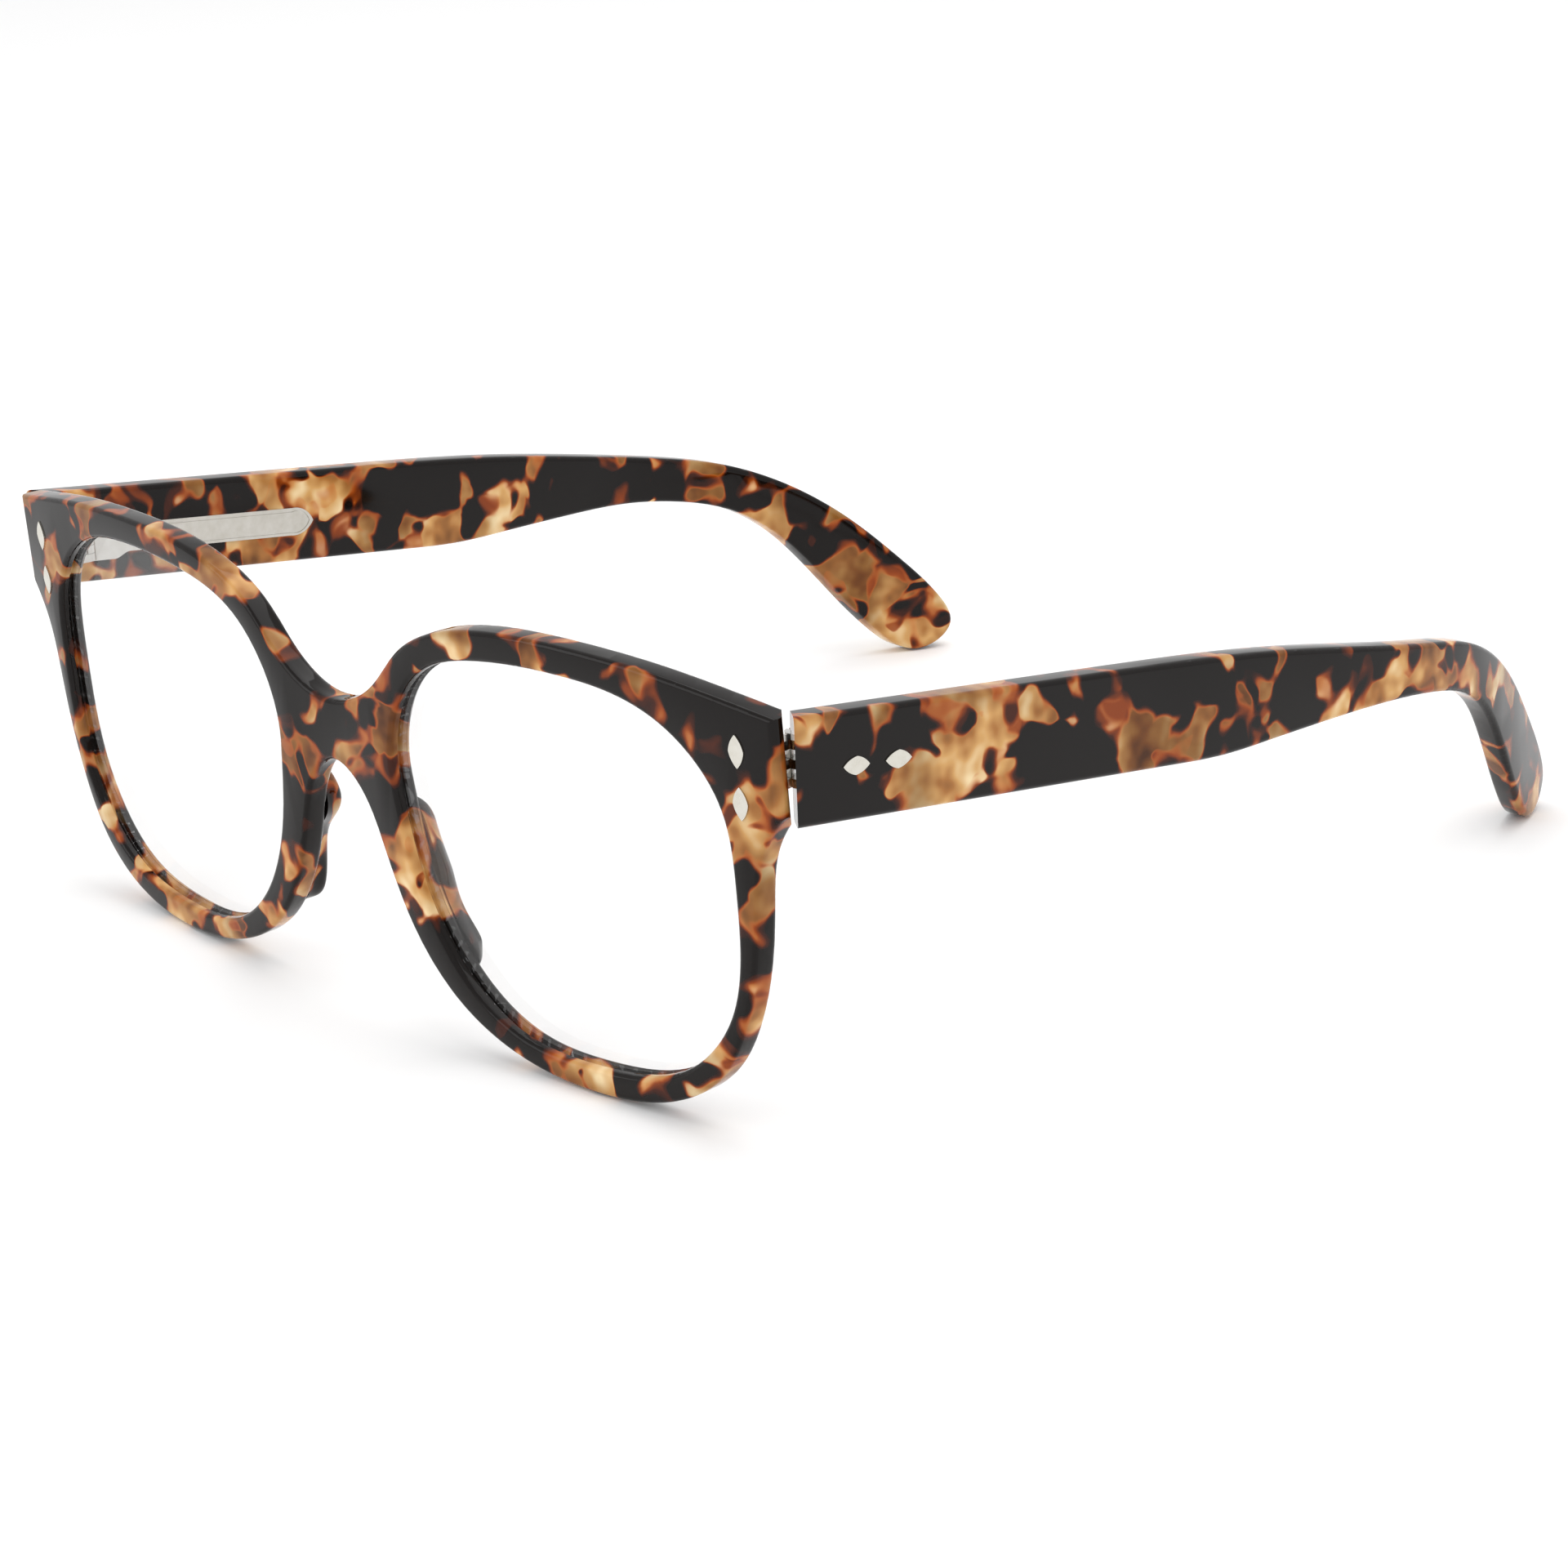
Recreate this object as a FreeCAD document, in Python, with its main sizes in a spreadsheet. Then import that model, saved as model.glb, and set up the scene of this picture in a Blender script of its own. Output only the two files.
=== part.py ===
import FreeCAD, Part
import math
import os

# Acetate eyeglasses, millimetres. +Z up, the wearer looks along -Y, +X is the wearer's left.
# The glasses rest on z = 0 on the bottoms of the rims and the two temple tips.

os.makedirs("parts", exist_ok=True)
doc = FreeCAD.newDocument("eyeglasses")

SIZES = [
    ("front_tilt", 3.3, "lean of the front, top towards the wearer's view, degrees"),
    ("front_back", -71.38, "y of the front's foot"),
    ("front_lift", 0.06, "height of the front's frame over the floor"),
    ("front_thickness", 3.2, "thickness of the front"),
    ("wrap_radius", 410.0, "radius the front is bent to"),
    ("mitre_x", 70.7, "half width of the front at its face"),
    ("mitre_angle", 41.0, "angle of the front's mitred ends to the x axis, degrees"),
    ("face_edge", 0.6, "rounding of the long edges of the front's face"),
    ("back_edge", 0.8, "rounding of the long edges of the front's back"),
    ("end_edge", 1.0, "rounding of the upright edges at the front's ends"),
    ("lens_setback", 1.1, "front face to the lens"),
    ("lens_thickness", 1.4, "demo lens"),
    ("groove_depth", 0.8, "depth of the lens groove"),
    ("lens_bevel", 0.65, "each side of the V edge of the lens"),
    ("pin_x", 65.8, "hinge pin from the middle"),
    ("pin_y", -61.98, "hinge pin"),
    ("pin_height", 41.81, "origin of each temple over the floor"),
    ("pin_radius", 0.6, "hinge screw shank"),
    ("bore_radius", 0.64, "bore of the temple's barrels"),
    ("barrel_radius", 1.3, "hinge barrels"),
    ("barrel_height", 1.0, "one hinge barrel"),
    ("barrel_gap", 0.04, "between neighbouring barrels"),
    ("barrel_drop", -0.4, "middle of the hinge under the pin origin"),
    ("screw_head_radius", 1.15, "hinge screw head"),
    ("screw_head_height", 0.55, "hinge screw head"),
    ("leaf_height", 5.4, "front leaf plate"),
    ("leaf_thickness", 0.9, "hinge leaf plates"),
    ("front_leaf_length", 4.0, "plate let into the end piece"),
    ("temple_leaf_height", 6.4, "temple leaf at the barrels"),
    ("temple_leaf_tail", 4.7, "temple leaf at its rear end"),
    ("leaf_angle", 9.2, "angle of the front's back face at the hinge, degrees"),
    ("leaf_stand", 3.0, "front leaf's outer surface from the pin"),
    ("temple_inside", 1.6, "inner face of the temple from the pin"),
    ("temple_thickness", 3.4, "thickness of the temple"),
    ("temple_drop", 7.4, "slope of the temple, degrees"),
    ("temple_edge", 0.7, "rounding of the temple's long edges"),
    ("temple_mitre_y", -4.6, "front of the temple at its outer face, from the pin"),
    ("temple_mitre_angle", 36.0, "angle of the temple's mitred end to the x axis, degrees"),
    ("rivet_long", 3.7, "rivet head, point to point"),
    ("rivet_wide", 2.0, "rivet head, across"),
    ("rivet_recess", 0.6, "rivet head under the surface"),
    ("rivet_proud", 0.15, "rivet head over the surface"),
    ("blade_thickness", 1.0, "flat part of the core wire"),
    ("blade_height", 4.0, "flat part of the core wire"),
    ("wire_radius", 0.65, "round part of the core wire"),
    ("plaque_height", 3.6, "plaque on the inner face"),
    ("plaque_thickness", 0.5, "plaque on the inner face"),
    ("plaque_proud", 0.12, "plaque over the inner face"),
    ("plaque_line", 0.1, "depth of the border line engraved in the plaque"),
]
sheet = doc.addObject("Spreadsheet::Sheet", "sizes")
for row, (alias, value, note) in enumerate(SIZES, 1):
    sheet.set("A%d" % row, note)
    sheet.set("B%d" % row, str(value))
    sheet.setAlias("B%d" % row, alias)
doc.recompute()


def mm(alias):
    return float(sheet.get(alias))


def vec(x, y, z=0.0):
    return FreeCAD.Vector(x, y, z)


def bend(points, start=None, end=None):
    """Smooth curve through (u, v) points, with end directions when they are given."""
    curve = Part.BSplineCurve()
    path = [vec(u, v) for u, v in points]
    if start:
        curve.interpolate(Points=path, InitialTangent=vec(*start), FinalTangent=vec(*end))
    else:
        curve.interpolate(Points=path)
    return curve


def loop(points):
    """Smooth closed curve through (u, v) points."""
    curve = Part.BSplineCurve()
    curve.interpolate(Points=[vec(u, v) for u, v in points], PeriodicFlag=True)
    return curve


def lines(points, closed=False):
    """Straight segments through (u, v) points."""
    ends = points[1:] + points[:1] if closed else points[1:]
    return [Part.LineSegment(vec(*a), vec(*b)) for a, b in zip(points, ends)]


def grown(points, distance):
    """The points of a closed outline, moved out of it by a distance."""
    curve = loop(points)
    moved = []
    for u, v in points:
        tangent = curve.tangent(curve.parameter(vec(u, v)))[0]
        normal = vec(tangent.y, -tangent.x)
        middle = vec(sum(p[0] for p in points), sum(p[1] for p in points)) / len(points)
        if normal.dot(vec(u, v) - middle) < 0:
            normal = normal * -1
        moved.append((u + normal.x * distance, v + normal.y * distance))
    return moved


def flipped(points, side):
    return [(side * u, v) for u, v in points]


def new_body(name, placement=None):
    body = doc.addObject("PartDesign::Body", name)
    body.Label = name
    if placement:
        body.Placement = placement
    doc.recompute()
    return body


def new_sketch(body, name, role, curves, offset=0.0):
    sketch = body.newObject("Sketcher::SketchObject", name)
    plane = next(feature for feature in body.Origin.OriginFeatures if feature.Role == role)
    sketch.AttachmentSupport = [(plane, "")]
    sketch.MapMode = "FlatFace"
    sketch.AttachmentOffset = FreeCAD.Placement(vec(0, 0, offset), FreeCAD.Rotation())
    for curve in curves:
        sketch.addGeometry(curve)
    doc.recompute()
    return sketch


def pad(body, sketch, length, symmetric=False, reverse=False):
    feature = body.newObject("PartDesign::Pad", sketch.Name + "_pad")
    feature.Profile = sketch
    feature.SideType = "Symmetric" if symmetric else "One side"
    feature.Reversed = reverse
    feature.setExpression("Length", length)
    doc.recompute()
    return feature


def pocket(body, sketch, length, symmetric=False, reverse=False):
    before = body.Shape.Volume
    feature = body.newObject("PartDesign::Pocket", sketch.Name + "_pocket")
    feature.Profile = sketch
    feature.SideType = "Symmetric" if symmetric else "One side"
    feature.Reversed = reverse
    feature.setExpression("Length", length)
    doc.recompute()
    if body.Shape.Volume > before - 1e-6:
        raise RuntimeError(sketch.Name + " cuts nothing")
    return feature


def boolean(kind, name, base, tools):
    """Part::Cut, Part::Common or Part::Fuse of base with one tool or a fusion of several."""
    if len(tools) > 1:
        tool = doc.addObject("Part::MultiFuse", name + "_tools")
        tool.Shapes = tools
    else:
        tool = tools[0]
    result = doc.addObject("Part::" + kind, name)
    result.Label = name
    result.Base = base
    result.Tool = tool
    doc.recompute()
    return result


def rounded(name, base, radius_of):
    """Part::Fillet of base, each edge by the radius the function gives for it, 0 for none."""
    result = doc.addObject("Part::Fillet", name)
    result.Base = base
    radii = [(number, radius_of(edge)) for number, edge in enumerate(base.Shape.Edges, 1)]
    result.Edges = [(number, radius, radius) for number, radius in radii if radius > 0]
    result.Label = name
    doc.recompute()
    return result


NODES = {}


def node(name, source):
    source.Label = name
    NODES[name] = source


SIDES = [("left", 1), ("right", -1)]

# ---------------------------------------------------------------- the front

front_frame_place = FreeCAD.Placement(
    vec(0, mm("front_back"), mm("front_lift")),
    FreeCAD.Rotation(vec(1, 0, 0), mm("front_tilt")),
)
RADIUS = mm("wrap_radius")
THICK = mm("front_thickness")


def bent_y(x, depth=0.0):
    """y of the surface a given depth behind the front's face."""
    return RADIUS - math.sqrt((RADIUS - depth) ** 2 - x * x)


# Right half of the outline: top edge from the bridge to the end piece, then the lower edge back.
TOP = [(0, 37.9), (4.6, 38.8), (8.8, 41.4), (13.6, 46.0), (20.5, 49.5), (30.5, 51.3),
       (41.5, 51.5), (53, 50.8), (62.5, 49.5), (mm("mitre_x"), 48.1)]
LOWER = [(mm("mitre_x"), 39.0), (68.8, 36.8), (67.0, 34.2), (65.8, 31.2), (65.2, 27.5), (64.3, 20.8),
         (62.2, 13.3), (58.1, 6.3), (51, 1.7), (39, -0.2), (27, 1.2), (17.4, 5.7), (10.6, 13.7),
         (7.0, 22.6), (4.1, 28.2), (0, 30.5)]
# Opening of the rim over the wearer's left eye.
OPENING = [(10.8, 30), (12.3, 38.5), (17, 44.1), (27, 47.4), (40, 48.1), (54, 45.2), (61, 37.7),
           (62.2, 28.2), (60.1, 13.8), (53, 5.9), (39, 2.8), (26.4, 4.2), (17.6, 10.6), (12.4, 21)]

top_edge = [(-x, z) for x, z in reversed(TOP[1:])] + TOP
low_edge = LOWER + [(-x, z) for x, z in reversed(LOWER[:-1])]
front_view = new_body("front_view", front_frame_place)
outline = new_sketch(front_view, "front_outline", "XZ_Plane", [
    bend(top_edge), *lines([TOP[-1], LOWER[0]]), bend(low_edge),
    *lines([low_edge[-1], top_edge[0]]), loop(OPENING), loop(flipped(OPENING, -1))])
pad(front_view, outline, "50", symmetric=True)


def bent_band(depth, thickness, half_width, mitre):
    """Plan outline between two surfaces of the bend, its ends mitred or square."""
    near, far = RADIUS - depth, RADIUS - depth - thickness
    slope = math.tan(math.radians(mitre))
    first = vec(half_width, RADIUS - math.sqrt(near ** 2 - half_width ** 2))
    inset = 0.0
    for _ in range(30):
        reach = RADIUS - math.sqrt(far ** 2 - (half_width - inset) ** 2) - first.y
        inset = reach / slope
    second = vec(first.x - inset, first.y + inset * slope)
    mirror = [vec(-point.x, point.y) for point in (first, second)]
    return [
        Part.Arc(mirror[0], vec(0, depth), first),
        Part.LineSegment(first, second),
        Part.Arc(second, vec(0, depth + thickness), mirror[1]),
        Part.LineSegment(mirror[1], mirror[0]),
    ]


front_plan = new_body("front_plan", front_frame_place)
plan = new_sketch(front_plan, "front_plan_outline", "XY_Plane",
                  bent_band(0, THICK, mm("mitre_x"), mm("mitre_angle")))
pad(front_plan, plan, "130", symmetric=True)
front_blank = boolean("Common", "front_blank", front_view, [front_plan])


def front_radius(edge):
    """The long edges of the face and back and the upright edges at the ends are rounded."""
    inverse = front_frame_place.inverse()
    ends = [inverse.multVec(edge.valueAt(p)) for p in (edge.FirstParameter, edge.LastParameter)]
    middle = inverse.multVec(edge.valueAt((edge.FirstParameter + edge.LastParameter) / 2))
    spots = ends + [middle]
    on_face = all(abs(p.y - bent_y(p.x)) < 0.02 for p in spots)
    on_back = all(abs(p.y - bent_y(p.x, THICK)) < 0.02 for p in spots)
    if not (on_face or on_back):
        return 0
    upright = abs(ends[0].x - ends[1].x) < 0.01 and abs(ends[0].z - ends[1].z) > 1
    if on_back:
        return mm("face_edge") if upright else mm("back_edge")
    return mm("end_edge") if upright else mm("face_edge")


front_round = rounded("front_round", front_blank, front_radius)

# ---------------------------------------------------------------- lenses

LENS = grown(OPENING, mm("groove_depth"))
lenses = {}
for name, side in SIDES:
    body = new_body("lens_" + name, front_frame_place)
    shape = new_sketch(body, "lens_outline_" + name, "XZ_Plane", [loop(flipped(LENS, side))])
    pad(body, shape, "40", symmetric=True)
    setback, thick = mm("lens_setback"), mm("lens_thickness")
    waste = []
    for depth, beyond in ((setback, -25), (setback + thick, 30)):
        y = bent_y(75, depth)
        waste.append(Part.Arc(vec(-75, y), vec(0, depth), vec(75, y)))
        waste += lines([(75, y), (75, beyond), (-75, beyond), (-75, y)])
    waste = new_sketch(body, "lens_faces_" + name, "XY_Plane", waste)
    pocket(body, waste, "130", symmetric=True)
    rims = ["Edge%d" % (i + 1) for i, edge in enumerate(body.Shape.Edges) if edge.Length > 60]
    faced = body.Tip
    bevel = body.newObject("PartDesign::Chamfer", "lens_bevel_" + name)
    bevel.Base = (faced, rims)
    bevel.setExpression("Size", "sizes.lens_bevel")
    doc.recompute()
    node("lens_" + name, body)
    lenses[name] = body

# ---------------------------------------------------------------- nose pads

# Outlines of the wearer's left pad, from inside the rim to its rear edge.
PAD_SECTIONS = [
    (1.9, [(6.8, 25.6), (9.0, 28.0), (11.0, 25.6), (12.6, 19.0), (15.8, 12.4), (18.2, 8.2),
           (16.0, 7.4), (11.6, 12.8), (8.4, 19.4)]),
    (4.4, [(7.9, 25.2), (9.4, 26.8), (11.2, 24.4), (12.9, 18.6), (15.4, 12.8), (17.5, 9.0),
           (15.9, 8.4), (12.2, 13.2), (9.6, 19.2)]),
    (5.6, [(8.4, 24.6), (9.3, 25.4), (10.5, 23.4), (12.3, 18.2), (14.1, 13.2), (16.1, 9.3),
           (15.3, 8.9), (12.4, 13.2), (10.5, 18.7)]),
    (6.0, [(8.8, 24.1), (9.3, 24.5), (10.1, 22.9), (11.9, 18.2), (13.7, 13.4), (15.6, 9.9),
           (15.2, 9.7), (12.8, 13.4), (11.1, 18.5)]),
]
pads = {}
for name, side in SIDES:
    body = new_body("nose_pad_blank_" + name, front_frame_place)
    sections = []
    for number, (depth, points) in enumerate(PAD_SECTIONS, 1):
        sections.append(new_sketch(body, "nose_pad_%s_section_%d" % (name, number), "XZ_Plane",
                                   [loop(flipped(points, side))], -depth))
    loft = body.newObject("PartDesign::AdditiveLoft", "nose_pad_loft_" + name)
    loft.Profile = sections[0]
    loft.Sections = sections[1:]
    doc.recompute()
    pads[name] = boolean("Cut", "nose_pad_" + name, body, [front_plan])
    node("nose_pad_" + name, pads[name])

# ---------------------------------------------------------------- hinges

BARREL = mm("barrel_height")
PITCH = BARREL + mm("barrel_gap")
STACK_LOW = -mm("barrel_drop") - 2.5 * BARREL - 2 * mm("barrel_gap")
# Fall of the temples along y.
DROP = math.tan(math.radians(mm("temple_drop")))


def pin_place(side):
    spot = vec(side * mm("pin_x"), mm("pin_y"), mm("pin_height"))
    return FreeCAD.Placement(spot, FreeCAD.Rotation())


def turned(side, angle):
    """The pin's frame turned about the pin, mirrored for the wearer's right."""
    return FreeCAD.Placement(pin_place(side).Base, FreeCAD.Rotation(vec(0, 0, 1), side * angle))


def box(name, place, corner, size_x, size_y, size_z):
    item = doc.addObject("Part::Box", name)
    item.setExpression("Length", size_x)
    item.setExpression("Width", size_y)
    item.setExpression("Height", size_z)
    item.Placement = place.multiply(FreeCAD.Placement(corner, FreeCAD.Rotation()))
    doc.recompute()
    return item


def cylinder(name, place, base, radius, height):
    item = doc.addObject("Part::Cylinder", name)
    item.setExpression("Radius", radius)
    item.setExpression("Height", height)
    item.Placement = place.multiply(FreeCAD.Placement(base, FreeCAD.Rotation()))
    doc.recompute()
    return item


def mirrored_corner(side, x, y, z, size_x):
    """Low corner of a box that spans x .. x + size_x on the wearer's left."""
    return vec(x if side > 0 else -x - size_x, y, z)


def barrels(name, side, place, indices, web_place, web_corner, web_sizes):
    """Barrels of one half of the hinge, each with the web that joins it to its leaf."""
    pieces = []
    for index in indices:
        low = STACK_LOW + index * PITCH
        tag = "%s_%d" % (name, index + 1)
        pieces.append(cylinder("barrel_" + tag, place, vec(0, 0, low), "sizes.barrel_radius",
                               "sizes.barrel_height"))
        x, y, size_x = web_corner
        pieces.append(box("web_" + tag, web_place, mirrored_corner(side, x, y, low, size_x),
                          *web_sizes, "sizes.barrel_height"))
    return pieces


front_hinges, temple_hinges = {}, {}
for name, side in SIDES:
    place = pin_place(side)
    bore = cylinder("pin_hole_front_" + name, place, vec(0, 0, -6), "sizes.pin_radius", "12")
    wide = cylinder("pin_hole_temple_" + name, place, vec(0, 0, -6), "sizes.bore_radius", "12")
    swept = turned(side, mm("leaf_angle"))
    stand, thick = mm("leaf_stand"), mm("leaf_thickness")
    length = mm("front_leaf_length")
    foot = -mm("barrel_drop") - mm("leaf_height") / 2
    corner = mirrored_corner(side, -length - 0.2, -stand - thick, foot, length)
    plate = box("front_leaf_" + name, swept, corner,
                "sizes.front_leaf_length", "sizes.leaf_thickness", "sizes.leaf_height")
    pieces = [plate, *barrels(name, side, place, (0, 2, 4), swept, (-1.3, -stand - 0.1, 1.6),
                              ("1.6", "sizes.leaf_stand + 0.1"))]
    solid = doc.addObject("Part::MultiFuse", "front_hinge_solid_" + name)
    solid.Shapes = pieces
    doc.recompute()
    front_hinges[name] = boolean("Cut", "front_hinge_" + name, solid, [bore])
    node("front_hinge_" + name, front_hinges[name])

    # The temple's leaf narrows in an S to the height of the core wire behind the barrels.
    inside = mm("temple_inside")
    half, tail = mm("temple_leaf_height") / 2, mm("temple_leaf_tail") / 2
    edges = {}
    for sign in (1, -1):
        heights = ((0.2, half), (5.2, half), (6.4, (half + tail) / 2), (7.6, tail), (9.4, tail))
        edges[sign] = [(y, -mm("barrel_drop") - DROP * y + sign * height) for y, height in heights]
    high, low = edges[1], edges[-1]
    leaf = new_body("temple_leaf_" + name, place)
    leaf_outline = new_sketch(leaf, "temple_leaf_outline_" + name, "YZ_Plane", [
        *lines([high[1], high[0], low[0], low[1]]), bend(low[1:4], (1, -DROP), (1, -DROP)),
        *lines([low[3], low[4], high[4], high[3]]), bend(high[3:0:-1], (-1, DROP), (-1, DROP)),
    ], side * inside)
    pad(leaf, leaf_outline, "sizes.leaf_thickness", reverse=side < 0)
    pieces = [leaf, *barrels(name, side, place, (1, 3), place, (0, -0.3, inside + 0.3),
                             ("sizes.temple_inside + 0.3", "1.6"))]
    solid = doc.addObject("Part::MultiFuse", "temple_hinge_solid_" + name)
    solid.Shapes = pieces
    doc.recompute()
    temple_hinges[name] = boolean("Cut", "temple_hinge_" + name, solid, [wide])
    node("temple_hinge_" + name, temple_hinges[name])

    # The screw is a shank through the five barrels with a slotted cheese head on top.
    screw = new_body("hinge_screw_" + name, place)
    top = STACK_LOW + 5 * PITCH - mm("barrel_gap")
    shank = new_sketch(screw, "screw_shank_" + name, "XY_Plane",
                       [Part.Circle(vec(0, 0), vec(0, 0, 1), mm("pin_radius"))], STACK_LOW)
    pad(screw, shank, str(round(top - STACK_LOW, 3)))
    head = new_sketch(screw, "screw_head_" + name, "XY_Plane",
                      [Part.Circle(vec(0, 0), vec(0, 0, 1), mm("screw_head_radius"))], top)
    pad(screw, head, "sizes.screw_head_height")
    slot = new_sketch(screw, "screw_slot_" + name, "XY_Plane",
                      lines([(-2, -0.15), (2, -0.15), (2, 0.15), (-2, 0.15)], True),
                      top + mm("screw_head_height"))
    pocket(screw, slot, "0.3")
    node("hinge_screw_" + name, screw)

# ---------------------------------------------------------------- rivets


def rivet(name, place):
    """A lozenge head with bowed sides on a short round shank; the head faces local +Z."""
    body = new_body(name, place)
    along, across = mm("rivet_long") / 2, mm("rivet_wide") / 2
    tips = [vec(along, 0), vec(0, across), vec(-along, 0), vec(0, -across)]
    sides = []
    for first, last in ((0, 1), (1, 2), (2, 3), (3, 0)):
        middle = (tips[first] + tips[last]) * 0.5
        sides.append(Part.Arc(tips[first], middle * 1.2, tips[last]))
    head = new_sketch(body, name + "_head", "XY_Plane", sides, -mm("rivet_recess"))
    pad(body, head, "sizes.rivet_recess + sizes.rivet_proud")
    shank = new_sketch(body, name + "_shank", "XY_Plane",
                       [Part.Circle(vec(0, 0), vec(0, 0, 1), 0.5)], -mm("rivet_recess"))
    pad(body, shank, "0.9", reverse=True)
    node(name, body)
    return body


RIVET_X = 64.4
front_rivets = []
for name, side in SIDES:
    lean = math.degrees(math.asin(RIVET_X / RADIUS))
    for level, z in (("upper", 44.2), ("lower", 38.5)):
        # Head outwards along -Y, its long axis upright.
        face = FreeCAD.Placement(vec(side * RIVET_X, bent_y(RIVET_X), z),
                                 FreeCAD.Rotation(vec(0, 0, 1), side * lean))
        face = face.multiply(FreeCAD.Placement(vec(0, 0, 0), FreeCAD.Rotation(vec(1, 0, 0), 90)))
        face = face.multiply(FreeCAD.Placement(vec(0, 0, 0), FreeCAD.Rotation(vec(0, 0, 1), 90)))
        place = front_frame_place.multiply(face)
        front_rivets.append(rivet("front_rivet_%s_%s" % (name, level), place))

front_tools = [*lenses.values(), *front_hinges.values(), *front_rivets]
node("front_frame", boolean("Cut", "front_frame", front_round, front_tools))

# ---------------------------------------------------------------- temples


def slope(y, height):
    """A point of the straight part, a height over the line that drops from the pin."""
    return (y, height - DROP * y)


# Side view from the pin: the straight top, the bend and paddle tip, the straight bottom.
STRAIGHT_TOP, STRAIGHT_LOW = 6.4, -5.5
BEND = [
    slope(44, STRAIGHT_TOP), (68, -2.85), (84, -6.05), (95, -8.4), (105, -11.0), (114, -15.2),
    (122, -21.1), (129.3, -28.4), (134.2, -34.3), (135.7, -38.5), (131.2, -41.8), (125.3, -38.4),
    (120.3, -32.3), (116.3, -27.0), (111.4, -21.6), (105.4, -17.6), (98, -15.2), (88, -13.7),
    (78, -13.3), (66, -13.2), slope(54, STRAIGHT_LOW)]
# Plan view from the pin: the outer and inner faces where the temple turns in.
OUTER_TURN = [(4.55, 92.2), (3.2, 100.4), (1.0, 108.5), (-2.1, 116.7), (-6.5, 126.7), (-12.2, 139.7)]
INNER_TURN = [(-15.3, 138.3), (-9.6, 125.3), (-5.2, 115.3), (-2.2, 107.5), (-0.1, 99.6), (1.2, 91.8)]

temples = {}
for name, side in SIDES:
    place = pin_place(side)
    inner = mm("temple_inside")
    outer = inner + mm("temple_thickness")
    side_view = new_body("temple_side_view_" + name, place)
    falling = (1, -DROP)
    rising = (-1, DROP)
    profile = new_sketch(side_view, "temple_profile_" + name, "YZ_Plane", [
        *lines([slope(-8, STRAIGHT_TOP), BEND[0]]), bend(BEND, falling, rising),
        *lines([BEND[-1], slope(-8, STRAIGHT_LOW), slope(-8, STRAIGHT_TOP)])])
    pad(side_view, profile, "60", symmetric=True)

    plan_view = new_body("temple_plan_view_" + name, place)
    mitre = math.tan(math.radians(mm("temple_mitre_angle")))
    front_outer = (outer, mm("temple_mitre_y"))
    front_inner = (inner, mm("temple_mitre_y") + (outer - inner) * mitre)
    outer_turn = [(outer, 84), *OUTER_TURN]
    inner_turn = [*INNER_TURN, (inner, 84)]
    ahead, back = (0, 1), (0, -1)
    plan_profile = new_sketch(plan_view, "temple_plan_profile_" + name, "XY_Plane", [
        *lines(flipped([front_inner, front_outer, outer_turn[0]], side)),
        bend(flipped(outer_turn, side), ahead, (-side * 0.4, 0.92)),
        *lines(flipped([outer_turn[-1], inner_turn[0]], side)),
        bend(flipped(inner_turn, side), (side * 0.4, -0.92), back),
        *lines(flipped([inner_turn[-1], front_inner], side))])
    pad(plan_view, plan_profile, "120", symmetric=True)
    blank = boolean("Common", "temple_blank_" + name, side_view, [plan_view])
    reach = blank.Shape.BoundBox.YMin

    def temple_radius(edge):
        middle = edge.valueAt((edge.FirstParameter + edge.LastParameter) / 2)
        return mm("temple_edge") if edge.Length > 6 and middle.y > reach + 4 else 0

    temples[name] = rounded("temple_round_" + name, blank, temple_radius)

# ---------------------------------------------------------------- metal in the temples


def temple_face(side, depth, y, height, inwards):
    """Frame on a plane of the temple: local X along it, local Z out of its outer or inner face."""
    falls = math.radians(mm("temple_drop"))
    facing = -side if inwards else side
    along = vec(0, math.cos(falls), -math.sin(falls))
    rotation = FreeCAD.Rotation(along, vec(0, 0, 0), vec(facing, 0, 0), "XZY")
    spot = FreeCAD.Placement(vec(side * depth, y, height - DROP * y), rotation)
    return pin_place(side).multiply(spot)


def spear(start, shoulder, tip, half, inset=0.0):
    """Strip with a square end and a bowed spear point, drawn along local X."""
    start, tip, half = start + inset, tip - inset * 1.6, half - inset
    bow = 0.45
    middle = vec((shoulder + tip) / 2 + bow, half / 2 + bow)
    lower = vec(middle.x, -middle.y)
    return [
        *lines([(shoulder, -half), (start, -half), (start, half), (shoulder, half)]),
        Part.Arc(vec(shoulder, half), middle, vec(tip, 0)),
        Part.Arc(vec(tip, 0), lower, vec(shoulder, -half)),
    ]


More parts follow.
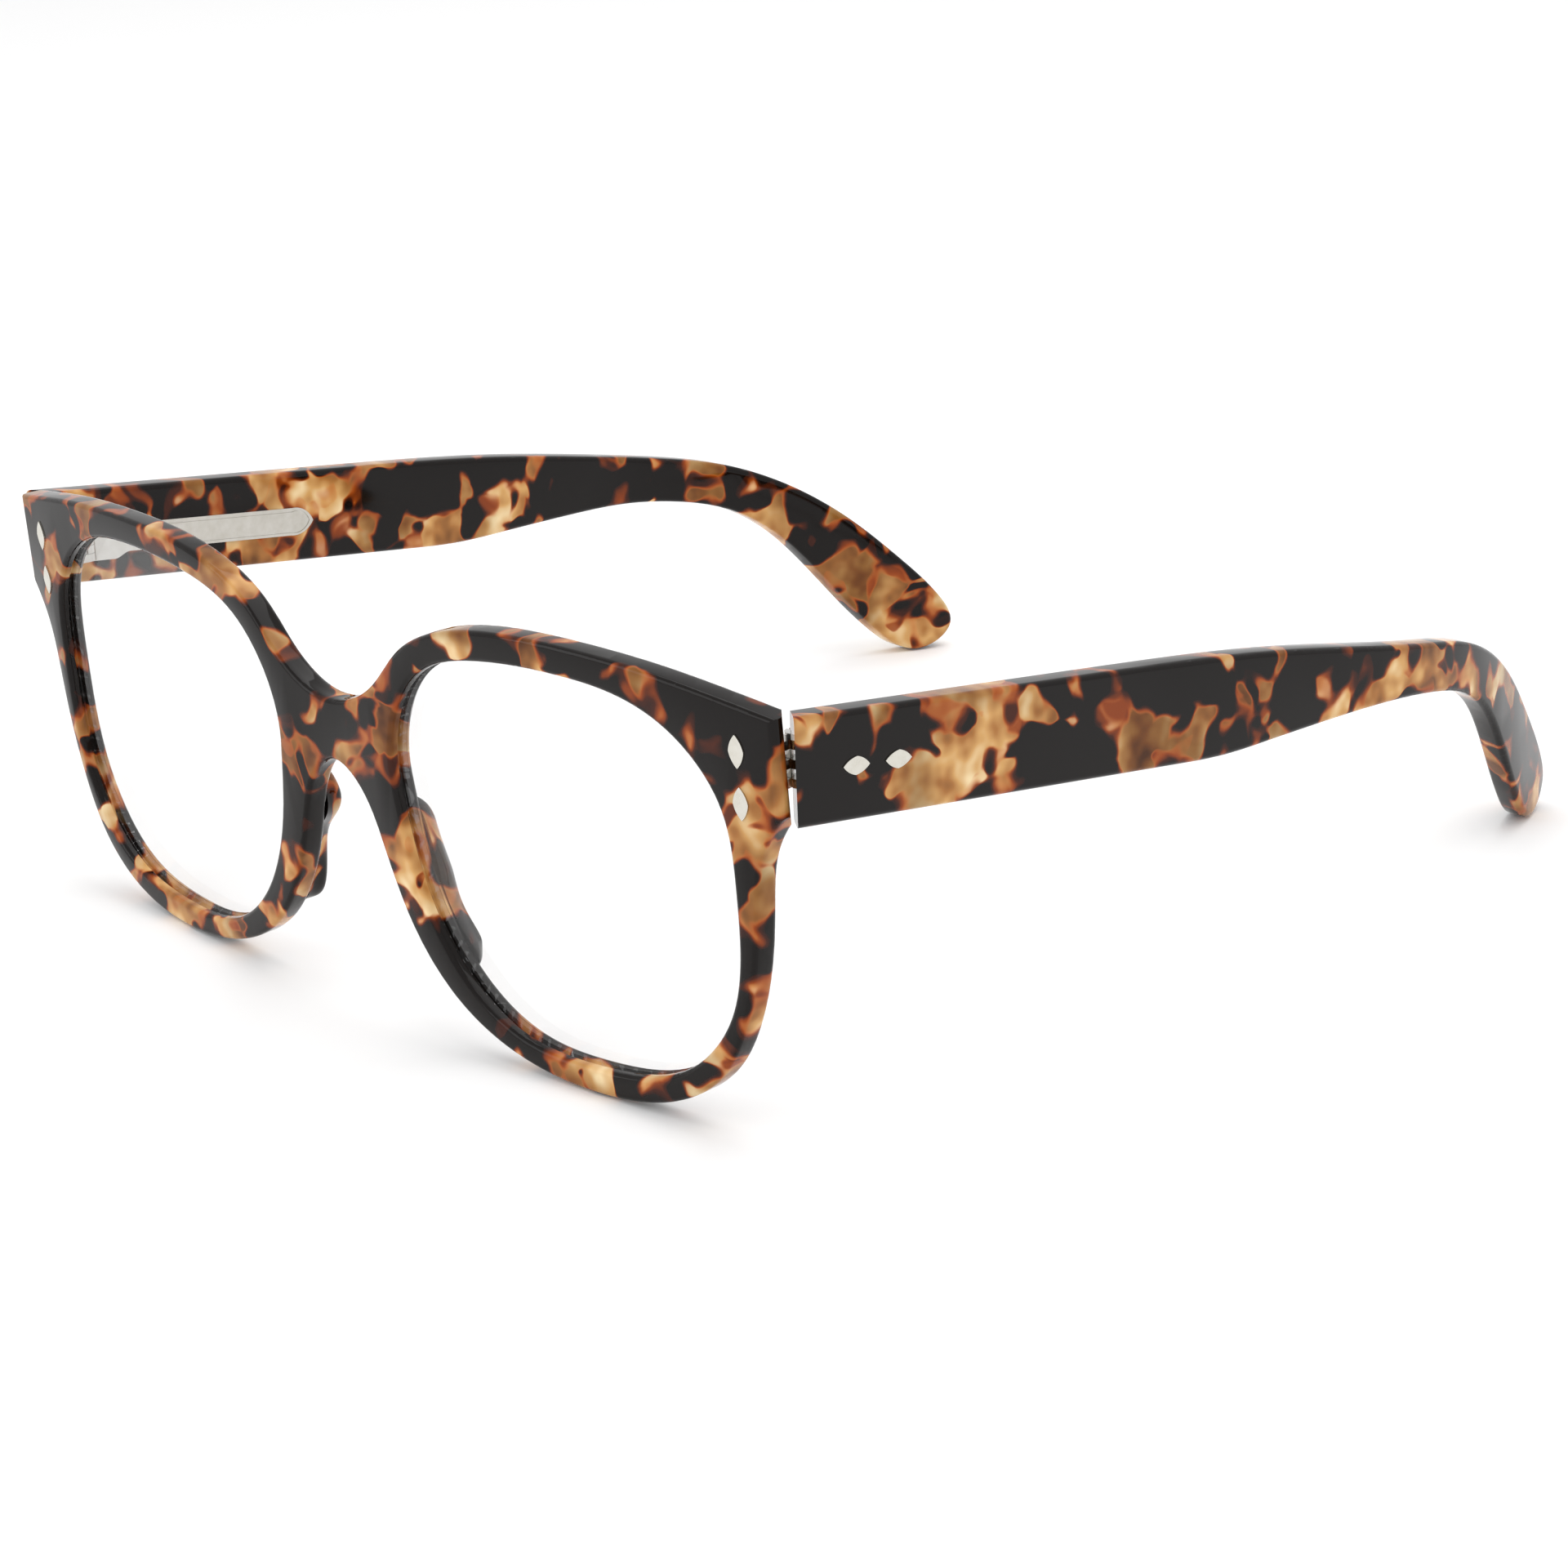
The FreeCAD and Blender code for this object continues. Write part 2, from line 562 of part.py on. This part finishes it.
WIRE = [
    (3.0, 72, -9.55), (3.2, 84, -10.0), (2.7, 93, -11.3), (1.4, 100.6, -13.0), (-0.5, 107.5, -15.4),
    (-2.3, 112.6, -18.4), (-5.0, 119.1, -24.0), (-7.5, 124.8, -30.4)]
for name, side in SIDES:
    inner = mm("temple_inside")
    outer = inner + mm("temple_thickness")
    rivets = [rivet("temple_rivet_%s_%s" % (name, end), temple_face(side, outer, y, 0.45, False))
              for end, y in (("front", 3.6), ("rear", 9.5))]

    plaque_place = temple_face(side, inner - mm("plaque_proud"), 0, -0.15, True)
    plaque = new_body("plaque_" + name, plaque_place)
    plate = (10.4, 32.6, 36.0, mm("plaque_height") / 2)
    shape = new_sketch(plaque, "plaque_outline_" + name, "XY_Plane", spear(*plate))
    pad(plaque, shape, "sizes.plaque_thickness", reverse=True)
    border = new_sketch(plaque, "plaque_border_" + name, "XY_Plane",
                        [*spear(*plate, 0.35), *spear(*plate, 0.55)])
    pocket(plaque, border, "sizes.plaque_line")
    node("plaque_" + name, plaque)

    # The core is a flat blade with a spear point that runs on as a round wire.
    blade_place = temple_face(side, inner + mm("leaf_thickness"), 0, -0.2, False)
    flat = new_body("core_blade_" + name, blade_place)
    blade = new_sketch(flat, "core_blade_outline_" + name, "XY_Plane",
                       spear(3.6, 69.6, 76.6, mm("blade_height") / 2))
    pad(flat, blade, "sizes.blade_thickness")
    path = Part.BSplineCurve()
    path.interpolate(Points=[pin_place(side).multVec(vec(side * x, y, z)) for x, y, z in WIRE])
    along = path.tangent(path.FirstParameter)[0]
    ring = Part.Circle(path.value(path.FirstParameter), along, mm("wire_radius"))
    tail = Part.Wire([path.toShape()]).makePipe(Part.Face(Part.Wire([ring.toShape()])))
    core = doc.addObject("Part::Feature", "core_wire_" + name)
    core.Shape = flat.Shape.fuse(tail).removeSplitter()
    node("core_wire_" + name, core)

    tools = [temple_hinges[name], core, plaque, *rivets]
    node("temple_" + name, boolean("Cut", "temple_" + name, temples[name], tools))

# ---------------------------------------------------------------- checks and files

doc.recompute()
for item in doc.Objects:
    if "Invalid" in item.State or "Error" in item.State:
        raise RuntimeError("%s: %s" % (item.Name, item.State))
for name, item in NODES.items():
    shape = item.Shape
    if shape.isNull() or not shape.isValid() or len(shape.Solids) != 1:
        raise RuntimeError("%s is not one valid solid" % name)
    shape.exportStep("parts/%s.step" % name)
print(len(NODES), "parts written")
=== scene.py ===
import math

import bpy
from mathutils import Matrix, Vector

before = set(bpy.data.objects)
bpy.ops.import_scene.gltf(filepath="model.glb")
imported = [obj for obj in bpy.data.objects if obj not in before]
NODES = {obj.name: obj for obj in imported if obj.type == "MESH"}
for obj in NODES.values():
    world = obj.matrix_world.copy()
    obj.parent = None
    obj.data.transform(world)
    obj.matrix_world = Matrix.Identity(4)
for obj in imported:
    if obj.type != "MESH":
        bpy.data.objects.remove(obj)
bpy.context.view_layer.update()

SIDES = ("left", "right")
CORNER_ANGLE = 28
SEAM = 2e-6

# ---------------------------------------------------------------- smooth shading


def smooth_by_angle(limit):
    """Node group that joins the patches of a CAD mesh and keeps only its real corners sharp."""
    group = bpy.data.node_groups.new("smooth_by_angle", "GeometryNodeTree")
    group.interface.new_socket("Geometry", in_out="INPUT", socket_type="NodeSocketGeometry")
    group.interface.new_socket("Geometry", in_out="OUTPUT", socket_type="NodeSocketGeometry")
    source = group.nodes.new("NodeGroupInput")
    target = group.nodes.new("NodeGroupOutput")
    merge = group.nodes.new("GeometryNodeMergeByDistance")
    merge.inputs["Distance"].default_value = SEAM
    angle = group.nodes.new("GeometryNodeInputMeshEdgeAngle")
    sharp = group.nodes.new("FunctionNodeCompare")
    sharp.inputs["B"].default_value = limit
    faces = group.nodes.new("GeometryNodeSetShadeSmooth")
    faces.domain = "FACE"
    edges = group.nodes.new("GeometryNodeSetShadeSmooth")
    edges.domain = "EDGE"
    edges.inputs["Shade Smooth"].default_value = False
    link = group.links.new
    link(source.outputs[0], merge.inputs["Geometry"])
    link(merge.outputs[0], faces.inputs["Geometry"])
    link(faces.outputs[0], edges.inputs["Geometry"])
    link(angle.outputs["Unsigned Angle"], sharp.inputs["A"])
    link(sharp.outputs["Result"], edges.inputs["Selection"])
    link(edges.outputs[0], target.inputs[0])
    return group


SMOOTH = smooth_by_angle(math.radians(CORNER_ANGLE))
for node in NODES.values():
    node.modifiers.new("smooth", "NODES").node_group = SMOOTH

# ---------------------------------------------------------------- materials


class Shader:
    """A material with a Principled shader, and short ways to add nodes to it."""

    def __init__(self, name):
        self.material = bpy.data.materials.new(name)
        self.material.use_nodes = True
        self.tree = self.material.node_tree
        self.surface = self.tree.nodes["Principled BSDF"]

    def node(self, kind, inputs=None, **settings):
        made = self.tree.nodes.new(kind)
        for key, value in settings.items():
            setattr(made, key, value)
        for key, value in (inputs or {}).items():
            self.put(made.inputs[key], value)
        return made

    def put(self, socket, value):
        """Sets a socket, or links it when the value is an output."""
        if isinstance(value, bpy.types.NodeSocket):
            self.tree.links.new(value, socket)
        else:
            socket.default_value = value

    def set(self, **inputs):
        for key, value in inputs.items():
            self.put(self.surface.inputs[key.replace("_", " ")], value)

    def math(self, operation, *values, clamp=False):
        made = self.node("ShaderNodeMath", operation=operation, use_clamp=clamp)
        for socket, value in zip(made.inputs, values):
            self.put(socket, value)
        return made.outputs[0]

    def mix(self, factor, first, second, blend="MIX"):
        made = self.node("ShaderNodeMix", data_type="RGBA", blend_type=blend)
        self.put(made.inputs[0], factor)
        self.put(made.inputs[6], first)
        self.put(made.inputs[7], second)
        return made.outputs[2]

    def ramp(self, factor, stops, interpolation="LINEAR"):
        made = self.node("ShaderNodeValToRGB", {"Fac": factor})
        ramp = made.color_ramp
        ramp.interpolation = interpolation
        for _ in range(len(stops) - 2):
            ramp.elements.new(0.5)
        for element, (position, colour) in zip(ramp.elements, stops):
            element.position = position
            element.color = colour
        return made.outputs["Color"]

    def noise(self, vector, scale, detail=2.0, roughness=0.5, output="Fac"):
        made = self.node("ShaderNodeTexNoise", {
            "Vector": vector, "Scale": scale, "Detail": detail, "Roughness": roughness})
        return made.outputs[output]


def colour(code, alpha=1.0):
    """Linear colour of an sRGB hex code."""
    parts = [int(code[i:i + 2], 16) / 255 for i in (0, 2, 4)]
    return (*[p / 12.92 if p < 0.04045 else ((p + 0.055) / 1.055) ** 2.4 for p in parts], alpha)


def grey(value):
    return (value, value, value, 1.0)


# Cells per metre of the flakes, and how far, in metres, their borders wander.
LARGE_FLAKES, SMALL_FLAKES = 190.0, 380.0
LARGE_SHARE, SMALL_SHARE = 0.6, 0.4
SMALL_OFFSET = (0.013, 0.027, 0.041)
WANDER, WANDER_SCALE = 0.007, 160.0
GROUND_TONES = [(0.30, "6e4420"), (0.42, "a8703a"), (0.54, "cf9f62"), (0.68, "eed6a8")]
DEPTH_TONES = [(0.38, "a89478"), (0.56, "ffffff")]
FLAKE_TONES = [(0.33, "cc6a2c"), (0.385, "93400f"), (0.435, "42190a"), (0.48, "0f0a08")]
FLAKE_START, FLAKE_FULL = 0.31, 0.40


def tones(stops):
    return [(position, colour(code)) for position, code in stops]


def tortoise(name, shift):
    """Polished tortoiseshell acetate: dark flakes with amber rims in honey and cream."""
    s = Shader(name)

    def vector(operation, *values):
        made = s.node("ShaderNodeVectorMath", dict(enumerate(values)), operation=operation)
        return made.outputs[0]

    place = s.node("ShaderNodeTexCoord").outputs["Object"]
    moved = vector("ADD", place, shift)
    wobble = s.noise(moved, WANDER_SCALE, 1.0, 0.4, output="Color")
    centred = vector("SUBTRACT", wobble, (0.5, 0.5, 0.5))
    bent = s.node("ShaderNodeVectorMath", {0: centred, "Scale": WANDER}, operation="SCALE")
    warped = vector("ADD", moved, bent.outputs[0])

    def flakes(scale, smoothness, offset):
        """Random value of each cell, blurred across the borders."""
        cells = s.node("ShaderNodeTexVoronoi", {
            "Vector": vector("ADD", warped, offset), "Scale": scale,
            "Smoothness": smoothness, "Randomness": 1.0}, feature="SMOOTH_F1")
        parts = s.node("ShaderNodeSeparateColor", {"Color": cells.outputs["Color"]})
        return parts.outputs[0]

    large = s.math("MULTIPLY", flakes(LARGE_FLAKES, 0.7, (0.0, 0.0, 0.0)), LARGE_SHARE)
    small = s.math("MULTIPLY", flakes(SMALL_FLAKES, 0.8, SMALL_OFFSET), SMALL_SHARE)
    value = s.math("ADD", large, small)

    ground = s.ramp(s.noise(moved, 170.0, 2.0, 0.6), tones(GROUND_TONES))
    depth = s.ramp(s.noise(moved, 75.0, 1.0), tones(DEPTH_TONES))
    ground = s.mix(1.0, ground, depth, "MULTIPLY")
    flake = s.ramp(value, [(FLAKE_START, grey(0.0)), (FLAKE_FULL, grey(1.0))], "EASE")
    body = s.mix(flake, ground, s.ramp(value, tones(FLAKE_TONES)))
    s.set(Base_Color=body, Roughness=0.06, IOR=1.49, Specular_IOR_Level=0.2,
          Subsurface_Weight=0.05, Subsurface_Radius=(0.0016, 0.0009, 0.0005),
          Subsurface_Scale=1.0)
    return s.material


def metal(name, tint, roughness):
    """Plated metal with a faint unevenness."""
    s = Shader(name)
    place = s.node("ShaderNodeTexCoord").outputs["Object"]
    cloud = s.noise(place, 900.0, 2.0)
    spread = s.math("MULTIPLY_ADD", cloud, 0.06, roughness - 0.03)
    s.set(Base_Color=s.mix(s.math("MULTIPLY", cloud, 0.3), colour(tint), colour("ffffff")),
          Metallic=1.0, Roughness=spread)
    return s.material


def clear_lens(name):
    """Clear demo lens: lets the background through with a thin white reflection."""
    s = Shader(name)
    nodes = s.tree.nodes
    nodes.remove(s.surface)
    place = s.node("ShaderNodeTexCoord").outputs["Object"]
    haze = s.math("MULTIPLY_ADD", s.noise(place, 40.0, 1.0), 0.01, 0.055)
    through = s.node("ShaderNodeBsdfTransparent", {"Color": grey(0.975)})
    sheen = s.node("ShaderNodeBsdfAnisotropic", {"Color": grey(0.95), "Roughness": 0.03})
    blend = s.node("ShaderNodeMixShader", {0: haze, 1: through.outputs[0], 2: sheen.outputs[0]})
    output = next(n for n in nodes if n.type == "OUTPUT_MATERIAL")
    s.tree.links.new(blend.outputs[0], output.inputs["Surface"])
    return s.material


ACETATE = {
    "front_frame": (0.0, 0.0, 0.0),
    "nose_pad_left": (0.0, 0.0, 0.0),
    "nose_pad_right": (0.0, 0.0, 0.0),
    "temple_left": (0.41, 0.22, 0.07),
    "temple_right": (0.57, 0.29, 0.18),
}
RIVET = metal("rivet_metal", "c6c2b6", 0.28)
PLAQUE = metal("plaque_metal", "b9b5ab", 0.32)
HINGE = metal("hinge_metal", "bdbab4", 0.16)
CORE = metal("core_metal", "a9a49a", 0.3)
LENS = clear_lens("clear_lens")


def paint(name, material):
    mesh = NODES[name].data
    mesh.materials.clear()
    mesh.materials.append(material)


for name, shift in ACETATE.items():
    paint(name, tortoise("acetate_" + name, shift))
for side in SIDES:
    paint("lens_" + side, LENS)
    paint("plaque_" + side, PLAQUE)
    paint("core_wire_" + side, CORE)
    for part in ("front_hinge_", "temple_hinge_", "hinge_screw_"):
        paint(part + side, HINGE)
    for level in ("upper", "lower"):
        paint("front_rivet_%s_%s" % (side, level), RIVET)
    for end in ("front", "rear"):
        paint("temple_rivet_%s_%s" % (side, end), RIVET)

# ---------------------------------------------------------------- floor, light and camera

HALF = 3.0
FLOOR_DROP = 0.0002
floor_mesh = bpy.data.meshes.new("floor")
corners = [(-HALF, -HALF, 0), (HALF, -HALF, 0), (HALF, HALF, 0), (-HALF, HALF, 0)]
floor_mesh.from_pydata(corners, [], [(0, 1, 2, 3)])
floor = bpy.data.objects.new("floor", floor_mesh)
floor.location.z = -FLOOR_DROP
bpy.context.scene.collection.objects.link(floor)
pale = Shader("pale_floor")
tone = pale.noise(pale.node("ShaderNodeTexCoord").outputs["Object"], 3.0, 1.0)
pale.set(Base_Color=pale.mix(tone, grey(0.9), grey(0.92)), Roughness=0.8)
floor_mesh.materials.append(pale.material)

world = bpy.data.worlds.new("studio")
world.use_nodes = True
background = world.node_tree.nodes["Background"]
background.inputs["Color"].default_value = grey(1.0)
background.inputs["Strength"].default_value = 0.95
bpy.context.scene.world = world
bpy.context.scene.view_settings.view_transform = "Standard"


def panel(name, place, aim, width, height, power):
    light = bpy.data.lights.new(name, "AREA")
    light.shape = "RECTANGLE"
    light.size = width
    light.size_y = height
    light.energy = power
    item = bpy.data.objects.new(name, light)
    item.location = place
    item.rotation_euler = (Vector(place) - Vector(aim)).to_track_quat("Z", "Y").to_euler()
    bpy.context.scene.collection.objects.link(item)
    return item


AIM = (0.0, 0.0, 0.025)
panel("overhead", (0.05, 0.1, 0.75), AIM, 0.9, 0.6, 2.6)
panel("front_fill", (-0.35, -0.75, 0.35), AIM, 0.5, 0.5, 1.2)

CAMERA_PLACE = (0.3737, -0.3350, 0.1782)
AZIMUTH, ELEVATION, ROLL = 48.63, 18.61, -2.41
camera_data = bpy.data.cameras.new("camera")
camera_data.sensor_width = 36.0
camera_data.lens = 97.4
camera_data.clip_start = 0.01
camera = bpy.data.objects.new("camera", camera_data)
camera.matrix_world = (
    Matrix.Translation(CAMERA_PLACE)
    @ Matrix.Rotation(math.radians(AZIMUTH), 4, "Z")
    @ Matrix.Rotation(math.radians(90 - ELEVATION), 4, "X")
    @ Matrix.Rotation(math.radians(ROLL), 4, "Z")
)
bpy.context.scene.collection.objects.link(camera)
bpy.context.scene.camera = camera
